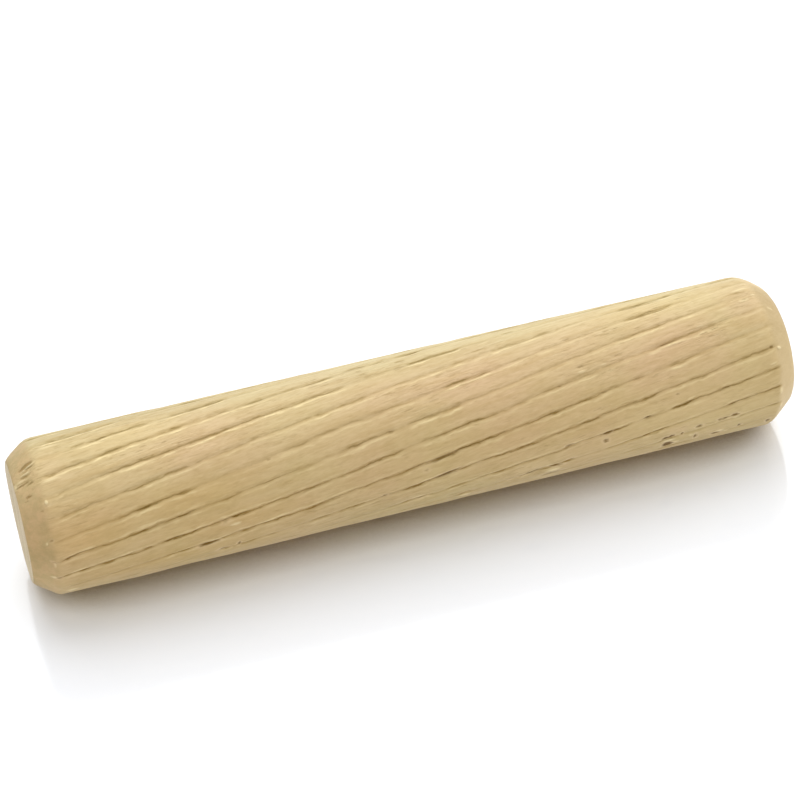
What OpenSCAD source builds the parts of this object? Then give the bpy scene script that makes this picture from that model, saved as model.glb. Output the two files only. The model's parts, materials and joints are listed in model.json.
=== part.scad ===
// Fluted wooden dowel pin, turned and pressed from one piece of hardwood.
// A round shank with a chamfer at each end, and fine left-hand spiral flutes
// pressed into the shank. The lands between the flutes grip a drilled hole.
// The origin is the centre of the lower end face, and +Z runs up the pin.

/* [Shank] */
// Diameter over the lands between the flutes
pin_diameter = 10; // [8:0.5:16]
// Length from end face to end face
pin_length = 50; // [30:1:80]

/* [Ends] */
// Length of each end chamfer, along the pin
chamfer_length = 1.5; // [0.8:0.1:3]
// How far each chamfer draws the end face in from the lands
chamfer_inset = 1.1; // [0.5:0.1:2]

/* [Flutes] */
// Number of spiral flutes round the shank
flute_count = 23; // [12:1:28]
// Length of pin over which one flute would make a full turn
flute_lead = 200; // [100:5:400]
// Depth of a flute below the lands
flute_depth = 0.18; // [0.1:0.01:0.3]
// Width of a flute at the surface of the shank
flute_width = 0.3; // [0.15:0.01:0.4]
// Angle of the first flute from +X, at the lower end face
flute_start = 12; // [0:0.5:30]

/* [Hidden] */

pin_radius = pin_diameter / 2;
end_radius = pin_radius - chamfer_inset;
flute_twist = 360 * pin_length / flute_lead;
flute_angle = 360 / flute_count;

// Height by which a flute's cutter stands out past the lands
overrun = 0.1;
// Half the cutter's width at its outer side, on the same slope as the flute
cutter_half_width = flute_width / 2 * (flute_depth + overrun) / flute_depth;
// Turn of a cutter from one slice to the next, which keeps its chords inside the overrun
slice_angle = 5;
flute_slices = ceil(flute_twist / slice_angle);

beech = [0.80, 0.68, 0.50];

// The turned blank: one revolved outline, with a chamfer at each end
module blank() {
    rotate_extrude($fn = 4 * flute_count)
        polygon([
            [0, 0],
            [end_radius, 0],
            [pin_radius, chamfer_length],
            [pin_radius, pin_length - chamfer_length],
            [end_radius, pin_length],
            [0, pin_length]
        ]);
}

// One V-shaped flute as a solid, from end to end, with a left-hand twist
module flute_cutter() {
    linear_extrude(height = pin_length, twist = flute_twist, slices = flute_slices)
        polygon([
            [pin_radius - flute_depth, 0],
            [pin_radius + overrun, cutter_half_width],
            [pin_radius + overrun, -cutter_half_width]
        ]);
}

module dowel_pin() {
    color(beech)
        difference() {
            blank();
            for (i = [0 : flute_count - 1])
                rotate([0, 0, flute_start + i * flute_angle])
                    flute_cutter();
        }
}

dowel_pin();
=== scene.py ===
"""A wooden dowel pin, standing on end in its own frame and seen lying across the picture.

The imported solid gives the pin's size. One mesh stands for it here, with the pressed
flutes, their raised edges, the fibres, pores and torn chips of the wood.
Lengths are in millimetres up to the last step, which makes them metres.
"""
import json
import math
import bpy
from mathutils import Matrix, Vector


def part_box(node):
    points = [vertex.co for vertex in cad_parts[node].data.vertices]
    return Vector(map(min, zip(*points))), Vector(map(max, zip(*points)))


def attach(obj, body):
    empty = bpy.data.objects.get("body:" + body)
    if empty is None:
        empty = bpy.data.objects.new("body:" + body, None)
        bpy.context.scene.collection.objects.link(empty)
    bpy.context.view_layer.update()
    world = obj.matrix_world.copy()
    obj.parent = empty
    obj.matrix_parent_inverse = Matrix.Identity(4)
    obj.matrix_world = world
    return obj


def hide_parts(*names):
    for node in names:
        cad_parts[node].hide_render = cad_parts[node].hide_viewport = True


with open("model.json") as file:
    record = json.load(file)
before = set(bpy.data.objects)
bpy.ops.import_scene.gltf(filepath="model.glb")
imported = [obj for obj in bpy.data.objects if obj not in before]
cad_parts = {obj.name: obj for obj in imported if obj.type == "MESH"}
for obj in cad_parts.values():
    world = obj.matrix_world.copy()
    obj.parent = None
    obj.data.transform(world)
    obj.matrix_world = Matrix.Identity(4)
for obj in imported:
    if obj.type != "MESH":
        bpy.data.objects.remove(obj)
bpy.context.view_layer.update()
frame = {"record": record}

from types import SimpleNamespace

import bpy
import numpy as np
from mathutils import Quaternion, Vector

MM = 0.001

# The pin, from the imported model
PIN_LOW, PIN_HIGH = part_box("dowel_pin")
SHANK = next(m for m in frame["record"]["mounts"] if m["name"] == "shank")
RADIUS = SHANK["dims"]["r_mm"]
GIRTH = 2 * math.pi * RADIUS
LENGTH = (PIN_HIGH[2] - PIN_LOW[2]) / MM
CHAMFER = (LENGTH - SHANK["dims"]["length_mm"]) / 2

# How far in the chamfers take the rims, as in the solid, and its flutes, set to the
# photographed twist: their count, millimetres a turn, and the angle from +X where they start
END_INSET = 1.1
FLUTES = 23
FLUTE_LEAD = 207.0
FLUTE_START = 10.5
PITCH = GIRTH / FLUTES

# The mesh: columns across one flute in parts of its pitch, rows from an end face up past a
# chamfer of 1.5 mm, and the step between the rows of the shank. The rows of an end face crowd a
# little towards its rim.
FLUTE_COLUMNS = np.array([-0.5, -0.38, -0.27, -0.18, -0.12, -0.075, -0.035,
                          0.0, 0.035, 0.075, 0.12, 0.18, 0.27, 0.38])
END_ROWS = np.array([0.0, 0.02, 0.06, 0.13, 0.22, 0.34, 0.46, 0.6, 0.8, 0.98, 1.12, 1.22, 1.3, 1.37,
                     1.44, 1.5, 1.56, 1.64, 1.75])
END_ROWS_CHAMFER = 1.5
ROW_STEP = 0.19
FACE_ROWS = 6
FACE_ROW_CROWDING = 0.8

# How far the deepest pores go in, and the highest chips stand up
PORE_DEPTH = 0.07
CHIP_HEIGHT = 0.05

# How far the fibres follow the twist of the flutes
FIBRE_TWIST = 0.85

# Rounding between each chamfer and the shank, and the wear of each end's rim. For the lower end
# and then the upper one: the value underneath, and the value on the side that lies uppermost
SHOULDERS = ((0.2, 0.35), (0.15, 0.5))
RIM_WEAR = ((0.08, 0.14), (0.04, 0.3))

# How far along the pin the wear goes, and what the rounding is widened by where the chamfer's
# colour fades into the shank's
RIM_REACH = 0.45
CUT_BLEND = 0.05

# Noises over the unrolled shank: a seed, and the arc and height of a cell
SLOW_PRESS = (11, PITCH, 4.5)
QUICK_PRESS = (12, PITCH, 0.8)
SWELL = (34, 2.5, 9.0)
LIP_PATCHES = (35, 1.2, 2.2)

# Layers of noise with an amount before each: the flutes' sideways drift, and the cutter's marks
# on the chamfers
WAVER = ((0.06, 21, PITCH, 6.0), (0.04, 22, PITCH, 1.7), (0.025, 23, PITCH, 0.7))
CUT_MARKS = ((0.014, 41, 0.5, 0.5), (0.022, 42, 1.6, 0.9))

# Layers with two amounts before each: the fibres where the wood is whole, and what torn wood adds
FIBRES = ((0.012, 0.012, 32, 0.45, 3.0), (0.008, 0.03, 33, 0.3, 1.2))


def srgb(code):
    """A colour written as six hex digits, as Blender's linear red, green, blue and alpha."""
    channels = [int(code[i:i + 2], 16) / 255 for i in (0, 2, 4)]
    linear = [c / 12.92 if c <= 0.04045 else ((c + 0.055) / 1.055) ** 2.4 for c in channels]
    return (*linear, 1.0)


# ---------------------------------------------------------------- shape


def smooth(x):
    """Eases 0..1 with flat ends, and holds what lies outside."""
    x = np.clip(x, 0.0, 1.0)
    return x * x * (3 - 2 * x)


def grain_noise(turn, height, seed, arc_size, height_size):
    """Smooth noise in -1..1 on the unrolled shank, with cells of the given size in millimetres."""
    around = max(3, round(GIRTH / arc_size))
    along = max(2, math.ceil(LENGTH / height_size) + 2)
    grid = np.random.default_rng(seed).uniform(-1, 1, (around, along))
    a = np.mod(turn, 1.0) * around
    b = np.clip(height / height_size, 0, along - 1.001)
    ia, ib = np.floor(a).astype(int), np.floor(b).astype(int)
    fa, fb = smooth(a - ia), smooth(b - ib)
    ia, ja, jb = ia % around, (ia + 1) % around, np.minimum(ib + 1, along - 1)
    near = grid[ia, ib] * (1 - fb) + grid[ia, jb] * fb
    far = grid[ja, ib] * (1 - fb) + grid[ja, jb] * fb
    return near * (1 - fa) + far * fa


def row_heights():
    """Heights of the rows from one end face to the other, close together at the rims and chamfers."""
    lower = END_ROWS * CHAMFER / END_ROWS_CHAMFER
    middle_rows = round((LENGTH - 2 * lower[-1]) / ROW_STEP)
    middle = np.linspace(lower[-1], LENGTH - lower[-1], middle_rows + 1)[1:-1]
    return np.concatenate([lower, middle, (LENGTH - lower)[::-1]])


def columns():
    """For each column round the pin: the flute it belongs to, and its place across that flute's pitch."""
    flute = np.repeat(np.arange(FLUTES), len(FLUTE_COLUMNS))
    across = np.tile(FLUTE_COLUMNS, FLUTES)
    return flute, across


# A flute is a valley, steeper on the side towards -turn, with a narrow crease along its bottom
# and a low lip pushed up above its steep side. The shader sharpens the crease and the lips, and
# paints shade into the crease and highlights onto the lips.
VALLEY_DEPTH = 0.078
VALLEY_WIDTHS = (0.17, 0.36)
CREASE_DEPTH = 0.05
CREASE_HALF_WIDTH = 0.1
LIP_HEIGHT = 0.03
LIP_WIDTH = 0.08
LIP_PLACE = -0.24
LIP_MIDDLE, LIP_SWING = 0.75, 0.5

# The share of its valley and lip that a flute still has where it isn't pressed at all
UNPRESSED_SHARE = 0.35

# How far the shank swells and shrinks, and how far its middle round lies inside the solid's
SWELL_HEIGHT = 0.015
SHANK_ALLOWANCE = 0.04

# How firmly the flutes are pressed: least of all, the middle and swing of what is random, the
# share that a quick noise changes, and the share lost on the side that lies uppermost
LEAST_PRESS = 0.22
MIDDLE_PRESS = 0.75
PRESS_SWING = 0.65
QUICK_SHARE = 0.4
UPPER_LOSS = 0.3

# The listed stretches hold up to this many degrees from the front, and fade over the last few of
# them. Along the pin each stretch fades in and out over so many millimetres.
FRONT_REACH = 80.0
FRONT_FADE = 8.0
STRETCH_FADE = 0.7

# Degrees up from the front: the side uppermost in the picture, and where the creases are broad
UPPERMOST = 80.0
BROAD_START, BROAD_END, BROAD_EASE = 48.0, 125.0, 20.0

# Degrees by which the flutes stand off an even spacing: a shift, and a swing from under to above
SPACING_SHIFT = 0.7
SPACING_SWING = 1.5

# The front of each flute: stretches of its length, from one height to another, and how firmly
# they are pressed. Between them the flute has nearly closed up.
PRESSED = {
    12: [(1.5, 3.6, 1.0)],
    13: [(2.2, 5.6, 1.0), (5.6, 7.0, 0.6)],
    14: [(4.0, 8.8, 0.9), (10.2, 13.8, 0.9)],
    15: [(1.9, 16.2, 0.95), (16.2, 20.8, 0.7), (23.2, 24.2, 0.6), (25.0, 26.6, 0.6)],
    16: [(2.2, 5.0, 0.4), (5.0, 21.2, 1.0), (25.4, 29.0, 1.0), (30.4, 31.2, 0.3)],
    17: [(2.2, 6.0, 0.6), (6.0, 10.6, 0.9), (10.6, 18.6, 0.45), (18.8, 22.2, 0.9),
         (22.2, 26.5, 0.4), (26.5, 30.0, 0.8), (30.8, 35.6, 0.8), (39.7, 44.6, 0.9)],
    18: [(2.4, 5.6, 0.4), (5.6, 10.6, 1.0), (15.0, 15.3, 0.6), (16.0, 26.2, 0.5),
         (27.2, 30.3, 0.9), (30.3, 37.0, 0.45), (39.7, 43.1, 1.0)],
    19: [(1.8, 10.6, 1.0), (10.6, 18.0, 0.6), (19.6, 23.3, 0.9), (24.3, 27.8, 0.85),
         (28.0, 38.4, 0.35), (38.4, 44.4, 0.85), (44.4, 48.0, 0.3)],
    20: [(1.6, 7.4, 1.0), (8.0, 23.6, 0.95), (24.8, 30.0, 0.9), (30.0, 36.8, 0.55),
         (37.0, 40.3, 0.35), (40.4, 45.2, 0.9), (45.2, 48.2, 0.3)],
    21: [(2.0, 7.0, 0.3), (8.0, 38.0, 0.95), (38.7, 39.7, 0.6), (41.5, 43.6, 0.9),
         (44.2, 47.0, 0.4)],
    22: [(11.6, 13.0, 1.0), (13.0, 15.3, 0.5), (17.3, 18.6, 0.7), (19.1, 22.2, 0.9),
         (22.4, 42.4, 0.95), (42.4, 48.6, 0.7)],
    0: [(23.2, 25.2, 0.9), (26.2, 27.6, 0.9), (28.2, 38.6, 0.75), (39.2, 40.0, 0.9),
        (41.2, 43.4, 1.3), (43.4, 48.7, 0.95)],
    1: [(27.0, 28.0, 0.8), (31.1, 34.6, 1.0), (36.7, 39.2, 0.5), (39.2, 40.9, 1.15),
        (41.2, 45.0, 0.4), (45.0, 46.6, 1.3), (46.6, 48.8, 0.9)],
    2: [(40.4, 41.6, 0.6), (44.9, 48.7, 0.5)],
}


def front_turn(angle):
    """Turn round the pin, from +X, of a place so many degrees up from the front (-Y) towards -X."""
    return (-90.0 - angle) / 360.0


def front_angle(turn):
    """The other way round: degrees up from the front, between -180 and 180."""
    return np.mod(-90.0 - 360.0 * turn + 180.0, 360.0) - 180.0


def facing_up(turn):
    """1 on the side that lies uppermost in the picture, and 0 on the side underneath."""
    return smooth(0.5 + 0.5 * np.cos(np.radians(front_angle(turn) - UPPERMOST)))


def broad_creases(turn):
    """1 along the pin's uppermost edge in the picture, where the creases are broader."""
    angle = front_angle(turn)
    return smooth((angle - BROAD_START) / BROAD_EASE) * smooth((BROAD_END - angle) / BROAD_EASE)


def between(limits, share):
    """From the first of two limits to the second."""
    low, high = limits
    return low + (high - low) * share


def stretch_press(flute, height):
    """Press of the flutes at each point from the stretches listed for them."""
    press = np.full_like(height, LEAST_PRESS)
    for number, stretches in PRESSED.items():
        for low, high, firm in stretches:
            begun = smooth((height - low) / STRETCH_FADE + 0.5)
            within = begun * smooth((high - height) / STRETCH_FADE + 0.5)
            press = np.where(flute == number, np.maximum(press, firm * within), press)
    return press


def flute_press(flute, height, turn):
    """How firmly each flute is pressed along the pin: the front from the list, the rest at random."""
    middle = (flute + 0.5) / FLUTES
    slow = grain_noise(middle, height, *SLOW_PRESS)
    quick = grain_noise(middle, height, *QUICK_PRESS)
    random_press = np.clip(MIDDLE_PRESS + PRESS_SWING * slow, LEAST_PRESS, 1.0)
    front = smooth((FRONT_REACH - np.abs(front_angle(turn))) / FRONT_FADE)
    press = random_press + (stretch_press(flute, height) - random_press) * front
    return press * (1 + QUICK_SHARE * quick) * (1 - UPPER_LOSS * facing_up(turn))


def flute_waver(flute, height):
    """Sideways drift of each flute in millimetres."""
    middle = (flute + 0.5) / FLUTES
    return sum(amount * grain_noise(middle, height, *noise) for amount, *noise in WAVER)


def uneven_spacing(turn):
    """Turn by which the flutes stand off an even spacing: a little apart in front, closer behind."""
    return (SPACING_SHIFT - SPACING_SWING * np.sin(np.radians(front_angle(turn)))) / 360.0


def flute_turn(flute, across, height):
    """Turn of each point: along its flute's spiral, and with the waver, which fades between flutes.

    Over the chamfers it stays as it is at their edge with the shank.
    """
    held = np.clip(height, CHAMFER, LENGTH - CHAMFER)
    turn = FLUTE_START / 360 + (flute + across) / FLUTES - held / FLUTE_LEAD
    fade = (1 - (2 * across) ** 2) ** 2
    return turn + uneven_spacing(turn) + flute_waver(flute, held) * fade / GIRTH


def shank_surface(offset, press, height, turn, torn):
    """Radius of the shank: valleys, creases and lips, on a slightly uneven and fibrous round."""
    crease = np.clip(1 - np.abs(offset) / CREASE_HALF_WIDTH, 0, 1)
    valley = np.exp(-(offset / np.where(offset < 0, *VALLEY_WIDTHS)) ** 2)
    lip = np.exp(-((offset - LIP_PLACE) / LIP_WIDTH) ** 2)
    formed = UNPRESSED_SHARE + (1 - UNPRESSED_SHARE) * press
    patchy = LIP_MIDDLE + LIP_SWING * grain_noise(turn, height, *LIP_PATCHES)
    along_fibres = turn + FIBRE_TWIST * height / FLUTE_LEAD
    fibres = sum((whole + more * torn) * grain_noise(along_fibres, height, *noise)
                 for whole, more, *noise in FIBRES)
    swell = SWELL_HEIGHT * grain_noise(turn, height, *SWELL)
    return (RADIUS - SHANK_ALLOWANCE + swell + fibres - VALLEY_DEPTH * formed * valley
            - CREASE_DEPTH * press * crease + LIP_HEIGHT * formed * patchy * lip)


# Pores and small torn spots: height, angle up from the front in degrees, length, width, strength
# and, for some, the slant in degrees from the pin's length.
PORES = [
    (34.2, -40.8, 0.60, 0.24, 0.8, 9.0),
    (36.7, -45.3, 0.45, 0.34, 0.8),
    (36.85, -38.2, 0.60, 0.24, 0.9, 9.0),
    (39.6, -32.4, 0.55, 0.18, 0.8),
    (41.65, -20.0, 0.36, 0.16, 0.7),
    (40.88, -60.0, 0.44, 0.32, 1.2, 0.0),
    (41.28, -58.9, 0.38, 0.30, 1.2, 9.0),
    (41.12, -71.2, 0.62, 0.62, 1.25, 0.0),
    (41.95, -59.0, 0.24, 0.36, 1.0),
    (43.0, -67.0, 0.24, 0.74, 1.0),
    (43.1, -54.0, 0.55, 0.28, 0.95, 9.0),
    (44.4, -71.0, 0.60, 0.42, 1.0),
    (44.5, -52.0, 0.38, 0.28, 0.7),
    (45.5, -50.4, 0.60, 0.28, 1.05, 9.0),
    (44.85, -51.4, 0.60, 0.20, 0.9, 9.0),
    (46.0, -66.5, 0.28, 0.42, 0.9),
    (48.1, -72.0, 0.33, 0.46, 0.95),
    (10.8, -53.8, 1.05, 0.23, 0.95, 6.0),
    (11.3, -52.6, 0.55, 0.20, 0.7),
    (11.8, -64.7, 0.75, 0.30, 0.8),
    (12.7, -63.2, 0.22, 0.60, 0.9),
    (25.9, -26.0, 2.00, 0.20, 0.8, 9.0),
    (26.2, -39.8, 1.60, 0.25, 0.95, 11.0),
    (22.1, -46.8, 0.36, 0.22, 0.7),
    (12.0, -36.0, 0.70, 0.40, 0.5, 0.0),
    (24.9, -33.0, 0.45, 0.34, 0.5, 0.0),
    (24.2, -59.6, 1.30, 0.24, 0.8),
    (27.5, -69.5, 1.00, 0.30, 0.8, 9.0),
    (32.0, -61.3, 1.80, 0.28, 1.3, 12.0),
    (33.4, -61.4, 1.20, 0.28, 0.85, -8.0),
    (33.4, -72.5, 1.40, 0.30, 0.6, 4.0),
    (34.4, -56.5, 0.50, 0.26, 0.65, 9.0),
    (23.1, 1.7, 0.34, 0.18, 0.7),
    (15.3, 2.4, 0.30, 0.16, 0.6),
    (48.3, -1.4, 0.28, 0.20, 0.9),
    (1.42, -19.0, 0.30, 0.26, 0.6),
    (10.3, 17.6, 0.30, 0.16, 0.5),
    (7.9, -14.8, 0.24, 0.14, 0.5),
    (35.8, 16.5, 0.50, 0.14, 0.8, 9.0),
    (37.2, 16.5, 0.35, 0.13, 0.6),
    (38.0, 19.0, 0.40, 0.12, 0.6, 9.0),
    (38.5, 18.5, 0.35, 0.12, 0.6),
    (36.0, 35.0, 0.50, 0.12, 0.5, 9.0),
    (37.6, 9.5, 0.40, 0.13, 0.6, 9.0),
    (34.2, 6.0, 0.35, 0.14, 0.6, 9.0),
    (34.6, 29.5, 0.35, 0.14, 0.6, 9.0),
    (39.2, -1.5, 0.60, 0.16, 0.55, 9.0),
    (36.9, -5.7, 0.60, 0.16, 0.55, 9.0),
    (36.3, -17.5, 0.90, 0.22, 0.5, 9.0),
    (47.5, 48.3, 1.00, 0.16, 0.9, 3.0),
    (47.6, 40.8, 0.60, 0.14, 0.8, 0.0),
    (41.2, 63.5, 3.00, 0.26, 1.0, 4.0),
    (41.6, 49.5, 3.20, 0.18, 1.0, 6.0),
    (41.9, 19.3, 2.20, 0.14, 0.65, 6.0),
    (43.8, 28.0, 1.20, 0.13, 0.65, 0.0),
    (44.9, 21.3, 0.90, 0.14, 0.8, 18.0),
    (35.6, 41.8, 0.70, 0.14, 0.65, 11.0),
    (48.0, 49.0, 0.60, 0.12, 0.6, 9.0),
    (46.0, 37.0, 0.35, 0.11, 0.6, 9.0),
    (26.1, 71.2, 1.80, 0.16, 0.7, 14.0),
    (32.5, 68.0, 0.90, 0.16, 0.6, 9.0),
    (29.9, 51.5, 2.20, 0.12, 0.6, 9.0),
    (19.2, 59.0, 1.50, 0.13, 0.5, 9.0),
    (22.0, 66.0, 1.60, 0.14, 0.6, 9.0),
]

# Torn cuts in the lower chamfer, by the same six values.
TEARS = [
    (0.95, 43.8, 0.78, 0.28, 1.4, 10.0),
    (1.15, 40.4, 0.70, 0.16, 0.9, 10.0),
    (0.70, 38.4, 0.80, 0.16, 0.8, 8.0),
    (0.90, 35.8, 0.90, 0.17, 1.0, 6.0),
    (0.60, 32.4, 0.90, 0.16, 0.9, 6.0),
    (0.55, 29.3, 1.00, 0.16, 0.9, 3.0),
    (1.00, 27.0, 0.50, 0.15, 0.7, 8.0),
    (0.76, 17.8, 0.46, 0.17, 1.0, 16.0),
    (0.55, 14.8, 0.36, 0.14, 0.7, 14.0),
    (1.00, 22.0, 0.28, 0.18, 0.6, 10.0),
    (1.30, 4.0, 0.25, 0.22, 0.5, 0.0),
    (1.45, -53.0, 0.50, 0.24, 0.6, 5.0),
    (1.30, -36.5, 0.50, 0.16, 0.5, -20.0),
]

# Pale chips and splinters that stand up a little, by the same six values.
CHIPS = [
    (1.60, 9.0, 0.16, 0.26, 1.3, 0.0),
    (1.10, -21.0, 0.34, 0.15, 0.8, 60.0),
    (1.05, 41.9, 0.90, 0.16, 1.0, 10.0),
    (0.80, 37.2, 0.80, 0.16, 0.9, 8.0),
    (0.65, 34.0, 0.90, 0.16, 0.9, 6.0),
    (0.45, 30.9, 0.80, 0.15, 0.8, 4.0),
    (0.10, 31.0, 0.30, 0.60, 0.7, 0.0),
    (2.20, 24.6, 1.10, 0.17, 0.9, 9.0),
    (2.50, 54.2, 1.50, 0.22, 0.9, 9.0),
    (1.35, -39.0, 0.20, 0.50, 0.6, 0.0),
    (1.15, -52.0, 0.40, 0.26, 0.8, 0.0),
    (2.20, -74.0, 0.80, 0.40, 0.8, 9.0),
    (46.00, 35.5, 1.40, 0.18, 0.8, 9.0),
    (47.75, 52.0, 1.30, 0.22, 1.0, 9.0),
    (47.60, 40.0, 0.80, 0.22, 1.0, 9.0),
    (48.35, 44.0, 0.40, 0.22, 0.7, 0.0),
    (49.10, 30.0, 0.50, 0.26, 0.65, -30.0),
    (48.85, -3.2, 0.26, 0.17, 1.3, -25.0),
    (48.20, -14.0, 0.60, 0.14, 0.8, 9.0),
    (48.65, -37.5, 0.26, 0.60, 0.8, 0.0),
    (48.75, -53.0, 0.26, 0.50, 0.8, 0.0),
    (35.85, 12.5, 0.60, 0.13, 0.9, 5.0),
    (37.3, 14.5, 0.50, 0.12, 0.7, 5.0),
    (41.05, -64.0, 0.90, 0.22, 1.0, 5.0),
    (41.65, -67.5, 0.50, 0.30, 0.8, 0.0),
    (42.60, -63.0, 0.40, 0.30, 0.7, 0.0),
    (44.60, -66.5, 0.70, 0.24, 1.0, 5.0),
    (45.10, -70.0, 0.40, 0.30, 0.8, 0.0),
    (45.60, -53.5, 0.60, 0.18, 0.8, 5.0),
    (38.10, -49.5, 2.40, 0.14, 0.6, 9.0),
    (24.30, -56.5, 1.20, 0.16, 0.8, 5.0),
    (32.00, -58.6, 1.40, 0.16, 0.7, 10.0),
    (32.90, -57.3, 0.80, 0.16, 0.8, 5.0),
    (33.30, -66.0, 1.10, 0.30, 0.9, 4.0),
    (27.50, -74.0, 0.80, 0.30, 0.8, 4.0),
    (41.40, 60.8, 2.40, 0.20, 0.6, 4.0),
    (41.90, 47.6, 2.60, 0.12, 0.65, 6.0),
    (44.00, 26.4, 1.00, 0.12, 0.7, 0.0),
    (42.20, 17.9, 1.40, 0.12, 0.7, 6.0),
    (11.10, -50.5, 0.90, 0.18, 0.8, 5.0),
    (12.60, -39.3, 0.80, 0.24, 0.8, 5.0),
]

# Patches where the fibres stand torn up, and where the wood is pinker, creamier, paler, more
# ochre or more olive, by the first five of those values. Some are painted light: the long cream
# band along the uppermost side is a painted sheen, the broad ochre band over the lower front is
# painted bounce light, and the long olive band along the underside is painted shade.
TORN = [
    (9.5, 31.0, 8.0, 1.8, 0.6),
    (2.8, 1.0, 3.0, 1.4, 0.4),
    (16.0, 43.0, 3.5, 1.4, 0.5),
    (16.2, 18.0, 2.6, 0.8, 0.5),
    (24.8, 30.0, 3.4, 1.2, 0.5),
    (25.0, 15.5, 2.6, 1.0, 0.5),
    (28.0, 31.0, 3.8, 1.4, 0.6),
    (30.5, 54.0, 3.0, 1.2, 0.5),
    (35.5, 30.0, 3.0, 1.0, 0.5),
    (37.3, 14.0, 4.0, 1.4, 0.5),
    (41.0, -3.0, 3.0, 1.0, 0.4),
    (44.6, 21.0, 3.4, 1.8, 0.5),
    (47.6, 44.0, 2.6, 1.6, 0.6),
    (39.5, -22.0, 4.0, 1.2, 0.4),
    (18.0, -41.0, 3.0, 1.0, 0.4),
    (0.8, 36.0, 2.4, 2.6, 0.8),
    (7.0, 56.0, 9.0, 2.2, 0.8),
    (22.0, -54.0, 7.0, 1.8, 0.45),
    (30.5, -62.0, 8.0, 2.0, 0.5),
    (41.0, -58.0, 10.0, 2.6, 0.55),
    (35.0, -36.0, 6.0, 1.6, 0.4),
    (46.0, -34.0, 4.0, 1.8, 0.4),
    (42.5, 54.0, 8.0, 2.0, 0.8),
    (39.0, 42.0, 6.0, 1.4, 0.65),
    (22.0, 60.0, 8.0, 1.8, 0.7),
]
PINK_CLOUDS = [
    (1.0, 4.0, 1.2, 1.4, 0.5),
    (10.0, 26.0, 7.0, 3.0, 0.7),
    (15.5, 8.0, 5.0, 2.5, 0.4),
    (27.5, 28.0, 8.0, 2.6, 0.8),
    (29.0, 12.0, 6.0, 2.0, 0.6),
    (41.5, 14.0, 7.0, 2.4, 0.6),
    (47.9, 42.0, 3.0, 3.0, 0.6),
    (41.6, -52.5, 1.6, 0.7, 0.9),
    (44.3, -65.0, 1.6, 1.0, 0.6),
    (28.4, -74.0, 2.4, 0.9, 0.7),
]
CREAM_AND_SHEEN_CLOUDS = [
    # A painted sheen along the uppermost side, the whole length of the pin.
    (25.0, 80.0, 140.0, 5.0, 1.0),
    (8.0, 58.0, 10.0, 2.0, 0.5),
    (32.0, 55.0, 12.0, 2.0, 0.5),
]
PALE_CLOUDS = [
    (43.5, -42.0, 16.0, 5.0, 0.7),
    (34.0, -54.0, 10.0, 2.0, 0.4),
    (42.0, 57.0, 9.0, 2.6, 0.8),
    (7.5, 52.0, 6.0, 2.4, 0.8),
    (0.9, 30.0, 2.2, 2.6, 0.5),
    (0.8, -64.0, 2.0, 2.4, 0.4),
]
OCHRE_AND_BOUNCE_LIGHT_CLOUDS = [
    # Painted bounce light: a broad, more saturated band over the lower front.
    (34.0, -27.0, 44.0, 4.6, 0.36),
    (3.5, -22.0, 8.0, 3.4, 0.7),
    (10.0, -14.0, 9.0, 2.4, 0.6),
    (12.0, -36.0, 12.0, 2.4, 0.6),
    (8.0, -58.0, 14.0, 2.4, 0.7),
    (35.9, -16.0, 2.0, 0.5, 0.4),
]
OLIVE_AND_UNDERSIDE_SHADE_CLOUDS = [
    (0.8, -34.0, 1.6, 2.4, 0.35),
    # Painted shade along the underside, the whole length of the pin.
    (25.0, -80.0, 140.0, 4.6, 0.4),
    (6.5, 72.0, 11.0, 2.6, 0.6),
    (4.5, -66.0, 7.0, 2.4, 0.3),
]

MARKS = {
    "pore": PORES + TEARS,
    "chip": CHIPS,
    "torn": TORN,
    "pink": PINK_CLOUDS,
    "cream": CREAM_AND_SHEEN_CLOUDS,
    "pale": PALE_CLOUDS,
    "ochre": OCHRE_AND_BOUNCE_LIGHT_CLOUDS,
    "olive": OLIVE_AND_UNDERSIDE_SHADE_CLOUDS,
}

# More of them at random where the photo doesn't reach: a seed, how many, and the least and the
# most length, width and strength. They lie between two angles, clear of the end faces.
HIDDEN_MARKS = {
    "torn": (51, 10, (2.5, 0.8, 0.4), (5.0, 1.6, 0.7)),
    "pore": (52, 28, (0.25, 0.14, 0.5), (0.9, 0.4, 1.0)),
    "chip": (53, 16, (0.3, 0.13, 0.6), (1.2, 0.25, 1.0)),
    "pink": (54, 6, (5.0, 2.0, 0.4), (10.0, 3.0, 0.8)),
    "ochre": (55, 6, (7.0, 2.0, 0.4), (14.0, 3.5, 0.8)),
}
HIDDEN_ANGLES = (95.0, 265.0)
HIDDEN_MARGIN = 0.8


def spots(height, turn, places):
    """A field that has each listed spot's strength in its middle, half of it at the edge, and 0 far off."""
    field = np.zeros_like(height)
    for at_height, angle, length, width, strength, *slant in places:
        tilt = math.radians(slant[0]) if slant else 0.0
        arc = (np.mod(front_turn(angle) - turn + 0.5, 1.0) - 0.5) * GIRTH
        along = (height - at_height) * math.cos(tilt) + arc * math.sin(tilt)
        across = arc * math.cos(tilt) - (height - at_height) * math.sin(tilt)
        away = (along / (0.5 * length)) ** 2 + (across / (0.5 * width)) ** 2
        field = np.maximum(field, strength * np.exp2(-away))
    return field


def scattered(seed, count, least, most):
    """Spots placed at random over the hidden side."""
    low = (HIDDEN_MARGIN, HIDDEN_ANGLES[0], *least)
    high = (LENGTH - HIDDEN_MARGIN, HIDDEN_ANGLES[1], *most)
    return np.random.default_rng(seed).uniform(low, high, (count, 5)).tolist()


def wood_marks(height, turn):
    """How strongly each point bears each kind of mark."""
    marks = {}
    for name, places in MARKS.items():
        hidden = scattered(*HIDDEN_MARKS[name]) if name in HIDDEN_MARKS else []
        marks[name] = spots(height, turn, places + hidden)
    return marks


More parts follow.
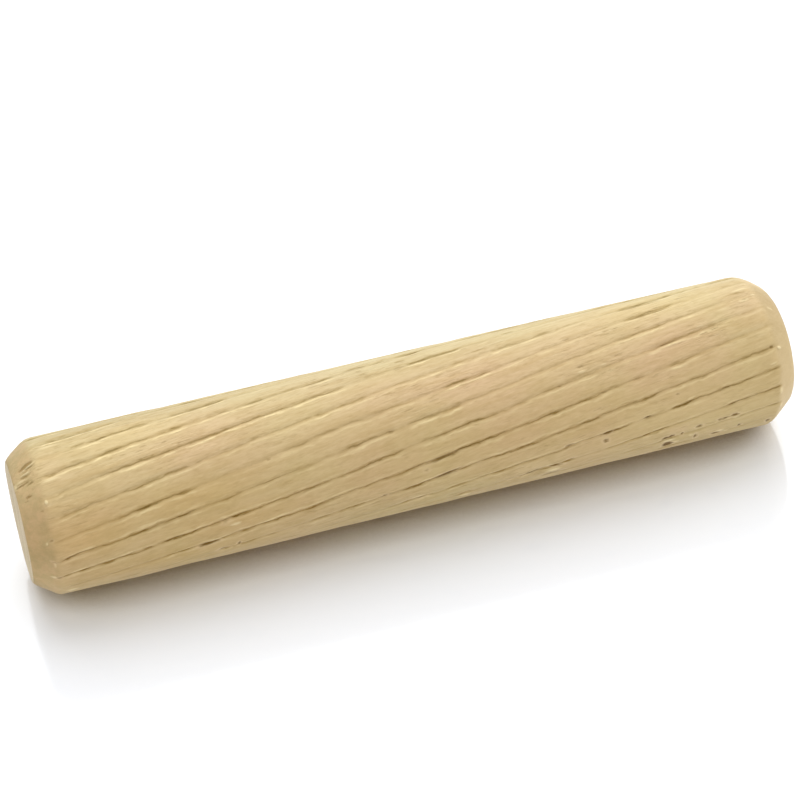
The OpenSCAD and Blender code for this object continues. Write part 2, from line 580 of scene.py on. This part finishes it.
def cone_radius(height, turn, rim_wear):
    """Radius that the end chamfers leave at each height, with their worn rims and marks of the cut."""
    from_end = np.minimum(height, LENGTH - height)
    plain = RADIUS - END_INSET * (1 - from_end / CHAMFER)
    inwards = np.clip(1 - from_end / RIM_REACH, 0, 1)
    rounded = rim_wear * (1 - np.sqrt(1 - inwards ** 2))
    rough = sum(amount * grain_noise(turn, height, *noise) for amount, *noise in CUT_MARKS)
    return plain - rounded + rough


def soft_min(a, b, blend):
    """The smaller of two, rounded over where they cross."""
    mix = np.clip(0.5 + 0.5 * (b - a) / blend, 0, 1)
    return b * (1 - mix) + a * mix - blend * mix * (1 - mix)


def by_end(height, turn, limits):
    """A value for the nearer end, between its limits: the first at the underside, the second on top."""
    lower, upper = (between(pair, facing_up(turn)) for pair in limits)
    return np.where(height < LENGTH / 2, lower, upper)


def side_grid():
    """Points and marks of the pin's side, one row per height and one column per angle."""
    flute, across = columns()
    height, flute = np.meshgrid(row_heights(), flute, indexing="ij")
    across = np.broadcast_to(across, height.shape)
    turn = flute_turn(flute, across, height)
    press = flute_press(flute, height, turn)
    marks = wood_marks(height, turn)
    shank = shank_surface(across * PITCH, press, height, turn, marks["torn"])
    cone = cone_radius(height, turn, by_end(height, turn, RIM_WEAR))
    shoulder = by_end(height, turn, SHOULDERS)
    radius = soft_min(shank, cone, shoulder) - PORE_DEPTH * marks["pore"] + CHIP_HEIGHT * marks["chip"]
    cut = smooth((shank - cone) / (shoulder + CUT_BLEND) + 0.5)
    lower = height < LENGTH / 2
    marks["press"] = press * (1 - cut)
    marks["facing_up"] = facing_up(turn)
    marks["broad"] = broad_creases(turn)
    marks["lower_cut"] = cut * lower
    marks["upper_cut"] = cut * ~lower
    return round_points(radius, turn, height), marks


def round_points(radius, turn, height):
    """Points from radius, turn and height."""
    angle = turn * 2 * math.pi
    return np.stack([radius * np.cos(angle), radius * np.sin(angle), height], -1)


def face_rows(rim, at_height):
    """Rows of one end face, from the rim in towards its middle."""
    rows = []
    for share in np.linspace(1, 0, FACE_ROWS + 1)[1:-1]:
        row = rim.copy()
        row[:, :2] *= share ** FACE_ROW_CROWDING
        row[:, 2] = at_height
        rows.append(row)
    return rows


def pin_faces(row_count, count):
    """Quads between neighbouring rows, then a fan of triangles round the middle of each end."""
    faces = []
    for r in range(row_count - 1):
        for c in range(count):
            d = (c + 1) % count
            faces.append((r * count + c, r * count + d, (r + 1) * count + d, (r + 1) * count + c))
    last = (row_count - 1) * count
    low_middle = row_count * count
    high_middle = low_middle + 1
    for c in range(count):
        d = (c + 1) % count
        faces.append((low_middle, d, c))
        faces.append((high_middle, last + c, last + d))
    return faces


def pin_mesh():
    """The whole pin as one closed mesh, with its marks as attributes for the shader."""
    side, marks = side_grid()
    lower = face_rows(side[0], 0.0)[::-1]
    upper = face_rows(side[-1], LENGTH)
    rows = np.concatenate([np.array(lower), side, np.array(upper)])
    row_count, count = rows.shape[:2]
    points = np.vstack([rows.reshape(-1, 3), [0, 0, 0], [0, 0, LENGTH]])
    mesh = bpy.data.meshes.new("fluted_pin")
    mesh.from_pydata((points * MM).tolist(), [], pin_faces(row_count, count))
    mesh.validate()
    mesh.shade_smooth()
    side_start = len(lower) * count
    for name, values in marks.items():
        whole = np.zeros(len(points))
        whole[side_start:side_start + values.size] = values.ravel()
        add_mark(mesh, name, "FLOAT", "value", whole)
    add_mark(mesh, "face", "FLOAT", "value", np.isin(points[:, 2], (0.0, LENGTH)))
    add_mark(mesh, "offset", "FLOAT", "value", corner_offsets(row_count - 1), "CORNER")
    add_mark(mesh, "along_fibres", "FLOAT_VECTOR", "vector", untwisted(points))
    return mesh


def untwisted(points):
    """Where each point lies once the fibres' twist is taken out of the pin."""
    x, y, z = points.T
    twist = 2 * math.pi * FIBRE_TWIST * z / FLUTE_LEAD
    return np.stack([x * np.cos(twist) - y * np.sin(twist), x * np.sin(twist) + y * np.cos(twist), z], -1)


def corner_offsets(quad_rows):
    """Millimetres from the nearest flute's bottom at each corner of each face.

    Corners hold it because it jumps from one flute's far side to the next one's near side.
    """
    across = columns()[1]
    near = across * PITCH
    far = np.append(across[1:], 0.5)
    far = np.where(far == FLUTE_COLUMNS[0], 0.5, far) * PITCH
    quads = np.tile(np.stack([near, far, far, near], -1).ravel(), quad_rows)
    end_triangles = 2 * len(across)
    ends = np.full(3 * end_triangles, PITCH / 2)
    return np.concatenate([quads, ends])


def add_mark(mesh, name, kind, field, values, domain="POINT"):
    """One attribute for the shader."""
    layer = mesh.attributes.new(name, kind, domain)
    layer.data.foreach_set(field, values.astype(np.float32).ravel())


# ---------------------------------------------------------------- materials


class Nodes:
    """A short way to add and join shader nodes in one material."""

    def __init__(self, name):
        self.material = bpy.data.materials.new(name)
        self.material.use_nodes = True
        self.tree = self.material.node_tree
        self.tree.nodes.clear()

    def add(self, kind, inputs=None, **settings):
        node = self.tree.nodes.new(kind)
        for key, value in settings.items():
            setattr(node, key, value)
        for key, value in (inputs or {}).items():
            self.feed(node.inputs[key], value)
        return node

    def feed(self, socket, value):
        if isinstance(value, bpy.types.NodeSocket):
            self.tree.links.new(value, socket)
        else:
            socket.default_value = value

    def math(self, operation, a, b=0.0):
        node = self.add("ShaderNodeMath", operation=operation)
        self.feed(node.inputs[0], a)
        self.feed(node.inputs[1], b)
        return node.outputs[0]

    def times(self, *values):
        product = values[0]
        for value in values[1:]:
            product = self.math("MULTIPLY", product, value)
        return product

    def plus(self, *values):
        total = values[0]
        for value in values[1:]:
            total = self.math("ADD", total, value)
        return total

    def less(self, value):
        """1 less the value."""
        return self.math("SUBTRACT", 1.0, value)

    def swing(self, noise, amount):
        """A noise of 0 to 1 as a push of up to half the amount either way."""
        return self.times(self.math("SUBTRACT", noise, 0.5), amount)

    def ramp(self, value, low, high):
        node = self.add("ShaderNodeMapRange", {"Value": value, "From Min": low, "From Max": high})
        return node.outputs[0]

    def bell(self, value, middle, width):
        """1 where the value is at the middle, down to 0 at the width to either side."""
        away = self.math("ABSOLUTE", self.math("SUBTRACT", value, middle))
        return self.add("ShaderNodeMapRange", {
            "Value": away, "From Min": width, "From Max": 0.0}, interpolation_type="SMOOTHSTEP").outputs[0]

    def mix(self, factor, a, b):
        node = self.add("ShaderNodeMix", data_type="RGBA")
        self.feed(node.inputs["Factor"], factor)
        self.feed(node.inputs[6], a)
        self.feed(node.inputs[7], b)
        return node.outputs[2]

    def layered(self, colour, layers):
        """The colour with each layer's own laid over it by that layer's share."""
        for share, tint in layers:
            colour = self.mix(share, colour, tint)
        return colour

    def noise(self, vector, scale, detail=2.0, roughness=0.5):
        node = self.add("ShaderNodeTexNoise",
                        {"Vector": vector, "Scale": scale, "Detail": detail, "Roughness": roughness})
        return node.outputs["Fac"]

    def attribute(self, name, output="Fac"):
        return self.add("ShaderNodeAttribute", attribute_name=name).outputs[output]

    def scaled(self, vector, *factors):
        return self.add("ShaderNodeMapping", {"Vector": vector, "Scale": factors}).outputs[0]


# The pith of the tree, far off to one side of the pin, and the width of a year's growth
PITH = (-31.0, 22.0, 0.0)
YEAR = 2.1


def end_grain(n, even):
    """Growth rings round the pith, fine rays towards it and vessels: how strong each is at a point."""
    flat = n.scaled(even, 1, 1, 0)
    to_pith = n.add("ShaderNodeVectorMath", {0: flat, 1: PITH}, operation="DISTANCE").outputs["Value"]
    wobble = n.times(n.noise(even, 0.35, 1.0), 1.6)
    year = n.math("FRACT", n.math("DIVIDE", n.plus(to_pith, wobble), YEAR))
    ring = n.times(n.ramp(year, 0.35, 0.92), n.ramp(year, 1.0, 0.94))
    turned = n.add("ShaderNodeMapping", {
        "Vector": flat, "Rotation": (0, 0, -math.atan2(PITH[1], PITH[0]))}).outputs[0]
    rays = n.ramp(n.noise(n.scaled(turned, 0.14, 1, 1), 5.0, 2.0, 0.6), 0.56, 0.66)
    vessels = n.ramp(n.noise(even, 9.0, 1.0), 0.6, 0.7)
    return ring, rays, vessels


def wood_grain(n):
    """Noises of the wood: clouds and mottle are even all ways, and the rest drawn out along the fibres."""
    even = n.scaled(n.add("ShaderNodeTexCoord").outputs["Object"], 1 / MM, 1 / MM, 1 / MM)
    along = n.attribute("along_fibres", "Vector")

    def drawn(squeeze, *noise):
        """A noise that is 1 / squeeze times as long along the fibres as across them."""
        return n.noise(n.scaled(along, 1, 1, squeeze), *noise)

    return SimpleNamespace(
        even=even,
        clouds=n.ramp(n.noise(even, 0.16, 2.0), 0.35, 0.65),
        mottle=n.ramp(n.noise(even, 1.4, 3.0, 0.7), 0.38, 0.62),
        streaks=drawn(0.12, 2.2, 3.0, 0.6),
        fine=drawn(0.2, 7.5, 2.5, 0.65),
        flecks=drawn(0.28, 5.0, 1.5, 0.6),
        jogs=n.noise(n.scaled(along, 0.5, 0.5, 0.26), 2.8, 1.0, 0.4),
        bits=n.ramp(drawn(0.22, 3.3, 1.5), 0.34, 0.62),
        dashes=n.ramp(drawn(0.35, 2.6, 2.0), 0.36, 0.6),
        blotches=n.ramp(drawn(0.45, 1.5, 2.0, 0.6), 0.5, 0.68),
        hairs=n.bell(drawn(0.09, 4.0, 0.5), 0.5, 0.05),
        nicks=n.ramp(drawn(0.15, 6.0, 1.0), 0.64, 0.72))


def wood_places(n):
    """Where on the pin a point is: the marks of the mesh, and what follows from them."""
    names = [*MARKS, "press", "broad", "lower_cut", "upper_cut", "face", "offset"]
    on = SimpleNamespace(**{name: n.attribute(name) for name in names})
    on.up = n.attribute("facing_up")
    on.down = n.less(on.up)
    on.under = n.ramp(on.up, 0.13, 0.03)
    return on


def flute_marks(n, grain, on):
    """The flutes' creases, the shade beside them, their troughs and lips, with broken edges. In the colour
    these are painted shade in and beside the creases and along the troughs, and painted highlights on the
    lips.
    """
    ragged = n.plus(n.swing(grain.flecks, 0.2), n.swing(grain.fine, 0.2))
    offset = n.plus(on.offset, ragged, n.swing(grain.jogs, 0.3))
    firm = n.times(on.press, n.plus(0.5, n.times(grain.bits, 0.8)))
    width = n.plus(0.085, n.times(on.broad, 0.09))
    # Strength of the creases' painted shade: weaker on the uppermost side and underneath, stronger along
    # the broad upper edge.
    shade_tone = n.plus(1.0, n.times(on.up, -0.3), n.times(on.under, -0.3), n.times(on.broad, 0.4))
    # The troughs' painted shade, strongest on the side underneath.
    trough_shade_weight = n.plus(n.times(on.up, on.down), n.times(on.under, 2.2))
    # Painted highlight on the lip above each crease, mostly on the side underneath.
    over = n.times(n.bell(offset, -0.22, 0.13), on.down, on.down,
                   n.plus(1.25, n.times(on.under, -0.5)))
    # Painted highlight below each crease, strongest on the uppermost side.
    below = n.times(n.bell(offset, 0.215, 0.135),
                    n.plus(0.1, n.times(on.up, 1.3), n.times(on.under, 0.5)))
    return SimpleNamespace(
        ragged=ragged,
        crease=n.times(n.bell(offset, 0.0, width), firm, shade_tone),
        shade=n.times(n.bell(offset, -0.03, 0.21), firm, n.plus(1.0, n.times(on.under, 0.9))),
        trough_shade=n.times(n.bell(offset, -0.05, 0.46), on.press, trough_shade_weight),
        lip=n.times(n.plus(over, below), on.press, n.plus(0.25, n.times(grain.dashes, 0.9))))


def small_marks(n, grain, on, ragged):
    """Chips, hairs, nicks, pores and the pale rims of the pores, with edges broken by the fibres."""
    pore_edge = n.plus(on.pore, n.swing(grain.fine, 0.7), n.swing(grain.jogs, 0.5))
    pore = n.ramp(pore_edge, 0.32, 0.8)
    return SimpleNamespace(
        chip=n.ramp(n.plus(on.chip, ragged), 0.3, 0.8),
        hairs=n.times(grain.hairs, n.plus(0.15, on.torn)),
        nicks=n.times(grain.nicks, n.plus(0.2, on.torn)),
        pore=pore,
        pore_rim=n.times(n.ramp(pore_edge, 0.08, 0.25), n.less(pore), on.down, on.down))


def beech_colour(n, grain, on, flutes, small):
    """The wood's colour: its tints and grain, the cut ends, the flutes and the small marks, with painted
    light and shade laid in: a sheen band along the upper side, bounce light over the lower front, shade
    along the underside and in the flutes, and highlights on the lips and the upper cut.
    """
    base = n.mix(grain.clouds, srgb("CEB988"), srgb("D2B68C"))
    strength = n.plus(0.4, n.times(on.torn, 0.6))
    lower_tone = n.mix(grain.mottle, srgb("AE9868"), srgb("C4A477"))
    # The upper cut is paler on the side underneath and darker on top: partly its own colour, partly a
    # painted highlight.
    upper_cut_tone_and_highlight = n.mix(on.broad, n.mix(on.up, srgb("E4CCA0"), srgb("AA9468")), srgb("D4BC92"))
    ring, rays, vessels = end_grain(n, grain.even)
    return n.layered(base, [
        (n.times(on.pink, 0.5), srgb("D8B290")),
        # Cream, with the band along the uppermost side painted as sheen.
        (n.times(on.cream, 0.8), srgb("D3C598")),
        # Ochre, with the broad band over the lower front painted as bounce light.
        (n.times(on.ochre, 0.8), srgb("CCA768")),
        # Olive, with the band along the underside painted as shade.
        (n.times(on.olive, 0.8), srgb("A8986C")),
        # Darker blotches, on the side underneath only.
        (n.times(grain.blotches, on.down, 0.25), srgb("AA9055")),
        (n.times(n.ramp(grain.streaks, 0.42, 0.75), 0.45), srgb("B79961")),
        (n.times(n.ramp(grain.fine, 0.45, 0.8), 0.26), srgb("A4844C")),
        (n.times(n.ramp(grain.flecks, 0.58, 0.76), strength, 0.4), srgb("96743D")),
        (n.times(n.ramp(grain.fine, 0.42, 0.24), strength, 0.4), srgb("E8D5A8")),
        (n.times(small.hairs, 0.3), srgb("8F6E38")),
        (n.times(small.nicks, 0.5), srgb("8A6A2C")),
        (n.times(on.lower_cut, 0.6), lower_tone),
        (n.times(on.upper_cut, 0.6), upper_cut_tone_and_highlight),
        (n.times(on.pale, n.less(on.upper_cut), 0.5), srgb("E5CD97")),
        # Painted shade along the troughs and beside the creases, painted highlights on the lips, and
        # painted shade in the creases.
        (n.times(flutes.trough_shade, 0.16), srgb("9A7E40")),
        (n.times(flutes.shade, 0.3), srgb("9A7A28")),
        (n.times(flutes.lip, 0.75), n.mix(on.up, srgb("ECD6A2"), srgb("F5E1AC"))),
        (n.times(flutes.crease, 0.7), n.mix(on.up, srgb("785400"), srgb("7C651E"))),
        (n.times(on.face, 0.8), srgb("ECDDBD")),
        (n.times(ring, on.face, 0.25), srgb("B0905C")),
        (n.times(rays, on.face, 0.5), srgb("E3D5B4")),
        (n.times(vessels, on.face, 0.5), srgb("8D6F44")),
        (n.times(small.pore_rim, 0.35), srgb("E6CCA4")),
        (n.times(small.chip, 0.65), srgb("F4E2B2")),
        (n.times(small.pore, n.plus(0.95, n.times(on.up, -0.45))),
         n.mix(on.up, srgb("6A4A00"), srgb("82620E"))),
    ])


def beech_relief(n, grain, on, flutes, small):
    """Height of the fine relief in millimetres: the ridges of the grain, the flutes and the marks.

    Torn wood has higher ridges, and the cut ends have lower ones.
    """
    cut = n.math("MAXIMUM", on.lower_cut, on.upper_cut)
    lift = n.times(n.plus(0.45, n.times(on.torn, 1.4)), n.less(n.times(cut, 0.3)))
    ridges = n.plus(n.times(grain.streaks, 0.06), n.times(grain.fine, 0.035), n.times(grain.flecks, -0.03))
    return n.plus(n.times(ridges, lift), n.times(flutes.crease, -0.03), n.times(flutes.lip, 0.02),
                  n.times(small.hairs, -0.01), n.times(small.nicks, -0.02),
                  n.times(small.pore, -0.05), n.times(small.chip, 0.02))


def beech():
    """Pale beech: fibres that follow the flutes, pale torn edges, flute bottoms darkened with painted
    shade, painted highlights on the flutes' lips, and dark pores.
    """
    n = Nodes("beech")
    grain = wood_grain(n)
    on = wood_places(n)
    flutes = flute_marks(n, grain, on)
    small = small_marks(n, grain, on, flutes.ragged)
    colour = beech_colour(n, grain, on, flutes, small)
    relief = beech_relief(n, grain, on, flutes, small)
    bump = n.add("ShaderNodeBump", {"Height": relief, "Strength": 1.0, "Distance": MM})
    surface = n.add("ShaderNodeBsdfPrincipled", {
        "Base Color": colour, "Roughness": n.plus(0.5, n.times(grain.fine, 0.2)),
        "Normal": bump.outputs[0], "Specular IOR Level": 0.2,
        "Sheen Weight": 0.06, "Sheen Roughness": 0.45})
    n.add("ShaderNodeOutputMaterial", {"Surface": surface.outputs[0]})
    return n.material


# Nearly edge on, the floor is gone at the first of these Facing values and whole at the second.
# What stands over it within the reach, in millimetres, darkens its colour as a painted shadow.
EDGE_ON = (0.85, 0.72)
SHADE_REACH = 60.0


def floor_finish():
    """White gloss for the camera and for mirror and glass rays, and nothing at all otherwise.

    It shows from its front side only, and fades where it is seen nearly edge on. Its colour is
    darkened where something stands close above it: a painted shadow, as dark as it would be if
    the floor also shaded what is above.
    """
    n = Nodes("floor_white")
    path = n.add("ShaderNodeLightPath")
    seen = n.math("MAXIMUM", path.outputs["Is Camera Ray"], path.outputs["Is Glossy Ray"])
    seen = n.math("MAXIMUM", seen, path.outputs["Is Transmission Ray"])
    behind = n.add("ShaderNodeNewGeometry").outputs["Backfacing"]
    grazing = n.add("ShaderNodeLayerWeight", {"Blend": 0.5}).outputs["Facing"]
    shown = n.times(seen, n.less(behind), n.ramp(grazing, *EDGE_ON))
    open_sky = n.add("ShaderNodeAmbientOcclusion", {"Distance": SHADE_REACH * MM}, samples=8).outputs["AO"]
    # The floor's colour, darkened towards brown where little sky is open: a painted shadow.
    shade_tone = n.mix(n.ramp(open_sky, 0.1, 0.5), srgb("766D6A"), srgb("F1F4F9"))
    surface = n.add("ShaderNodeBsdfPrincipled", {
        "Base Color": shade_tone, "Roughness": 0.1, "IOR": 1.8})
    clear = n.add("ShaderNodeBsdfTransparent")
    mixed = n.add("ShaderNodeMixShader", {0: shown, 1: clear.outputs[0], 2: surface.outputs[0]})
    n.add("ShaderNodeOutputMaterial", {"Surface": mixed.outputs[0]})
    return n.material


# ---------------------------------------------------------------- the object


def add_pin():
    """The visual pin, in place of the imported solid."""
    pin = bpy.data.objects.new("fluted_pin", pin_mesh())
    bpy.context.scene.collection.objects.link(pin)
    pin.data.materials.append(beech())
    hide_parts("dowel_pin")
    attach(pin, "root")
    return pin


# ---------------------------------------------------------------- the stage

# Where the picture is taken from: just past the lower end, with the pin across the frame. The
# lens, the sensor's width and the nearest distance shown are in millimetres too.
CAMERA_PLACE = (0.0, -165.3, -8.5)
CAMERA_AIM = (-2.0, 0.0, 25.1)
CAMERA_ROLL = 76.9
CAMERA_LENS = 119.5
CAMERA_SENSOR = 36.0
CAMERA_NEAR = 5.0

# The surface under the lying pin faces this many degrees up from the camera's side. Each floor
# reaches so far from its middle.
FLOOR_TILT = 50.0
FLOOR_REACH = 600.0
# Clearance under the standing pin, which keeps its end face clear of the floor's plane
FLOOR_GAP = 0.02

# A plain white room, a broad light from above and behind the lying pin, and one past its upper
# end. For each light: its angle up from the front, how steeply it rises towards the upper end,
# its level and its spread in degrees
WORLD_LIGHT = 0.83
SUNS = {
    "key": (80.0, 0.15, 0.42, 60.0),
    "end_light": (80.0, 3.0, 0.3, 60.0),
}


def add_camera():
    """The camera, rolled so that the standing pin lies across the picture."""
    camera = bpy.data.objects.new("camera", bpy.data.cameras.new("camera"))
    camera.data.lens = CAMERA_LENS
    camera.data.sensor_width = CAMERA_SENSOR
    camera.data.clip_start = CAMERA_NEAR * MM
    camera.location = Vector(CAMERA_PLACE) * MM
    ahead = (Vector(CAMERA_AIM) - Vector(CAMERA_PLACE)).normalized()
    camera.rotation_mode = "QUATERNION"
    roll = Quaternion((0, 0, 1), math.radians(CAMERA_ROLL))
    camera.rotation_quaternion = ahead.to_track_quat("-Z", "Y") @ roll
    bpy.context.scene.collection.objects.link(camera)
    bpy.context.scene.camera = camera


def up_from_front(degrees):
    """Unit vector across the pin, turned from the front (-Y) towards -X."""
    turn = math.radians(degrees)
    return Vector((-math.sin(turn), -math.cos(turn), 0))


def add_floor(name, middle, across, along, finish):
    """A large flat floor through a point, facing the way of across x along."""
    corners = [middle + (across * a + along * b) * FLOOR_REACH
               for a, b in ((-1, -1), (1, -1), (1, 1), (-1, 1))]
    mesh = bpy.data.meshes.new(name)
    mesh.from_pydata([c * MM for c in corners], [], [(0, 1, 2, 3)])
    floor = bpy.data.objects.new(name, mesh)
    floor.data.materials.append(finish)
    bpy.context.scene.collection.objects.link(floor)
    floor.visible_shadow = False


def add_floors():
    """One floor under the lying pin, and one just below its lower end for the standing views."""
    finish = floor_finish()
    facing = up_from_front(FLOOR_TILT)
    up = Vector((0, 0, 1))
    middle = up * LENGTH / 2 - facing * RADIUS
    add_floor("lying_floor", middle, up, facing.cross(up), finish)
    add_floor("standing_floor", Vector((0, 0, -FLOOR_GAP)), Vector((1, 0, 0)), Vector((0, 1, 0)), finish)


def add_world():
    """An even white room, at full white where the camera or a mirror ray sees it."""
    world = bpy.data.worlds.new("studio")
    world.use_nodes = True
    bpy.context.scene.world = world
    tree = world.node_tree
    tree.nodes.clear()
    path = tree.nodes.new("ShaderNodeLightPath")
    seen = path.outputs["Is Camera Ray"]
    for kind in ("Is Glossy Ray", "Is Transmission Ray"):
        either = tree.nodes.new("ShaderNodeMath")
        either.operation = "MAXIMUM"
        tree.links.new(seen, either.inputs[0])
        tree.links.new(path.outputs[kind], either.inputs[1])
        seen = either.outputs[0]
    level = tree.nodes.new("ShaderNodeMapRange")
    level.inputs["To Min"].default_value = WORLD_LIGHT
    level.inputs["To Max"].default_value = 1.0
    tree.links.new(seen, level.inputs["Value"])
    shade = tree.nodes.new("ShaderNodeBackground")
    shade.inputs["Color"].default_value = (1, 1, 1, 1)
    tree.links.new(level.outputs[0], shade.inputs["Strength"])
    output = tree.nodes.new("ShaderNodeOutputWorld")
    tree.links.new(shade.outputs[0], output.inputs["Surface"])


def add_suns():
    """The broad suns."""
    for name, (angle, rise, level, spread) in SUNS.items():
        sun = bpy.data.objects.new(name, bpy.data.lights.new(name, "SUN"))
        sun.data.energy = level * math.pi
        sun.data.angle = math.radians(spread)
        towards = (up_from_front(angle) + Vector((0, 0, rise))).normalized()
        sun.rotation_mode = "QUATERNION"
        sun.rotation_quaternion = towards.to_track_quat("Z", "Y")
        bpy.context.scene.collection.objects.link(sun)


add_camera()
add_pin()
add_floors()
add_world()
add_suns()
bpy.context.scene.view_settings.view_transform = "Standard"
